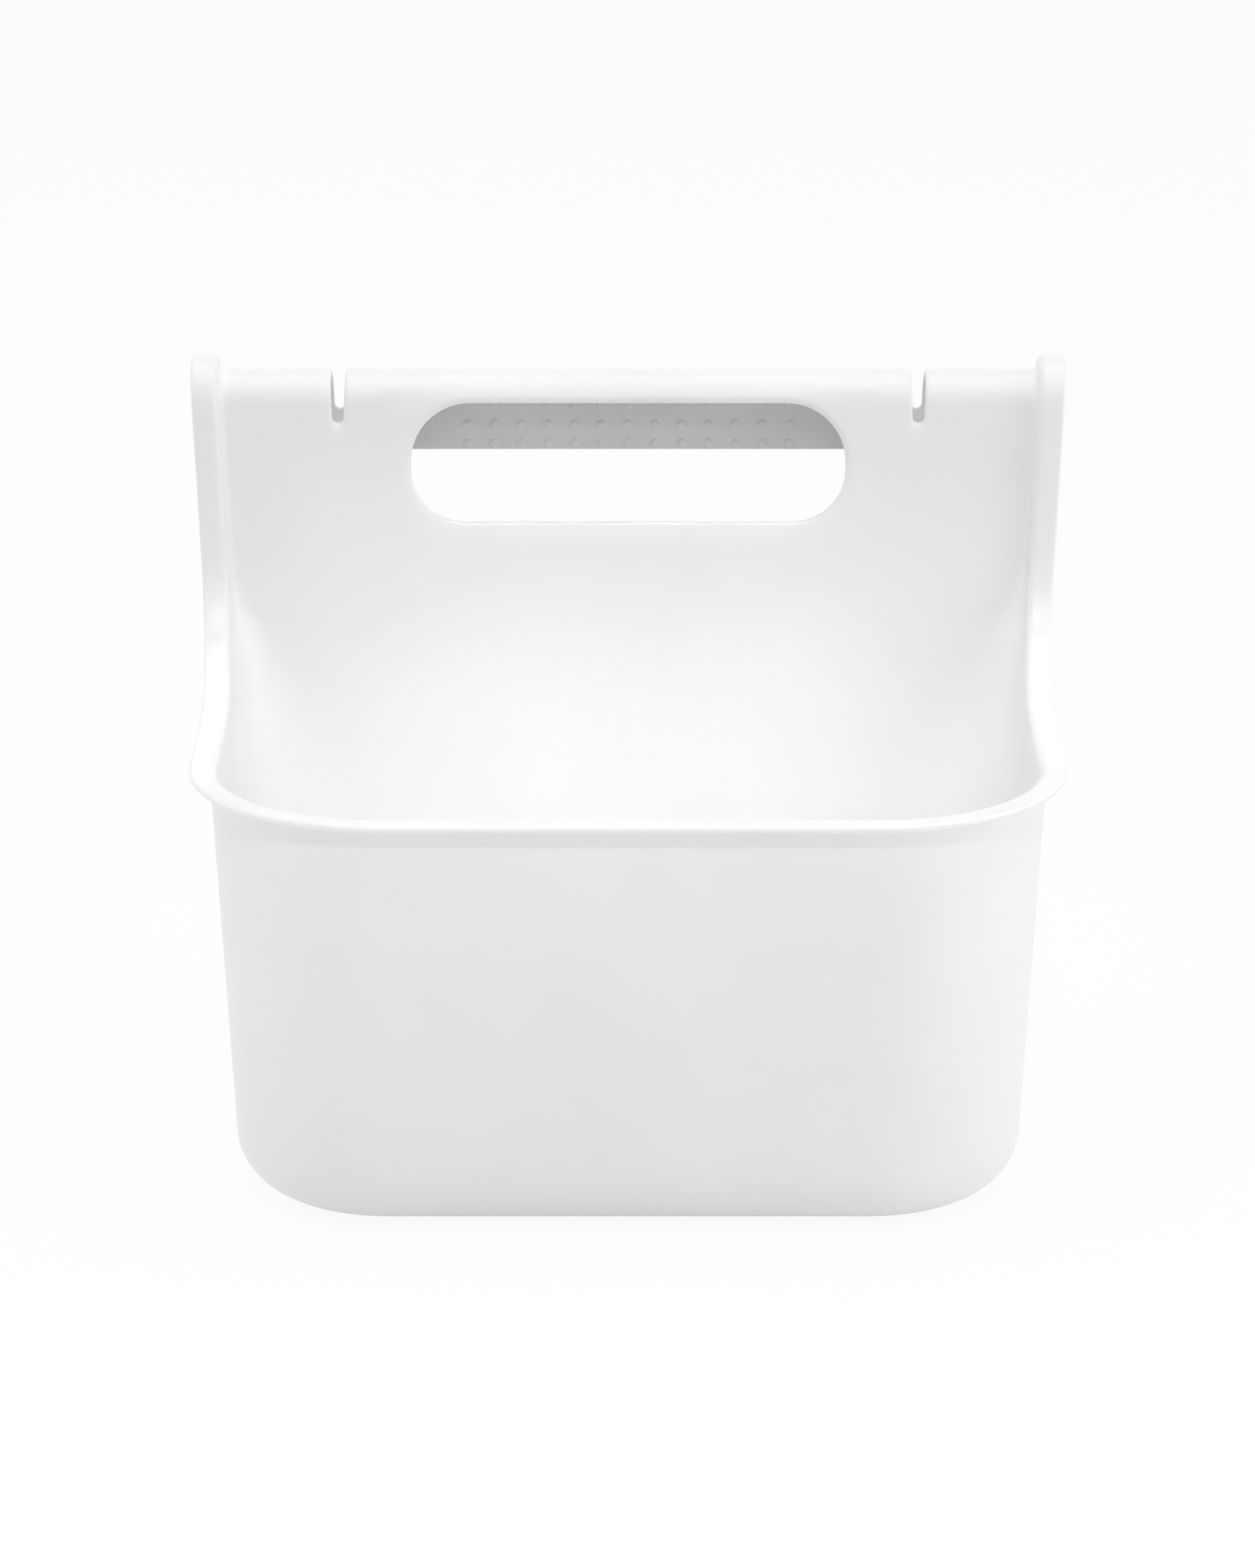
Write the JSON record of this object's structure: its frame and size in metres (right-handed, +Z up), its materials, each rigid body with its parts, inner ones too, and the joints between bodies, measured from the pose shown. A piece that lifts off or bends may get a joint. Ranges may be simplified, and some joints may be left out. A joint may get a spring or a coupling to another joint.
{
  "type": "bathroom caddy",
  "caption": "Moulded open bin with a rolled rim that sweeps up beside a high back panel into a hooked carrying handle with a hand hole and a soft grip.",
  "frame": {"origin": "centre of the footprint of the whole part, on the surface that the feet stand on", "axes": "+X to the right along the handle, +Y from the low front towards the back panel, +Z up"},
  "size_m": [0.259, 0.1752, 0.2214],
  "materials": {
    "moulding": "white polypropylene with a soft gloss",
    "grip": "matt light grey soft plastic with raised dots",
    "feet": "matt grey rubber"
  },
  "bodies": {
    "root": {"caddy_body": "moulding", "handle_grip": "grip", "foot_front_left": "feet", "foot_front_right": "feet", "foot_rear_left": "feet", "foot_rear_right": "feet"}
  },
  "joints": []
}
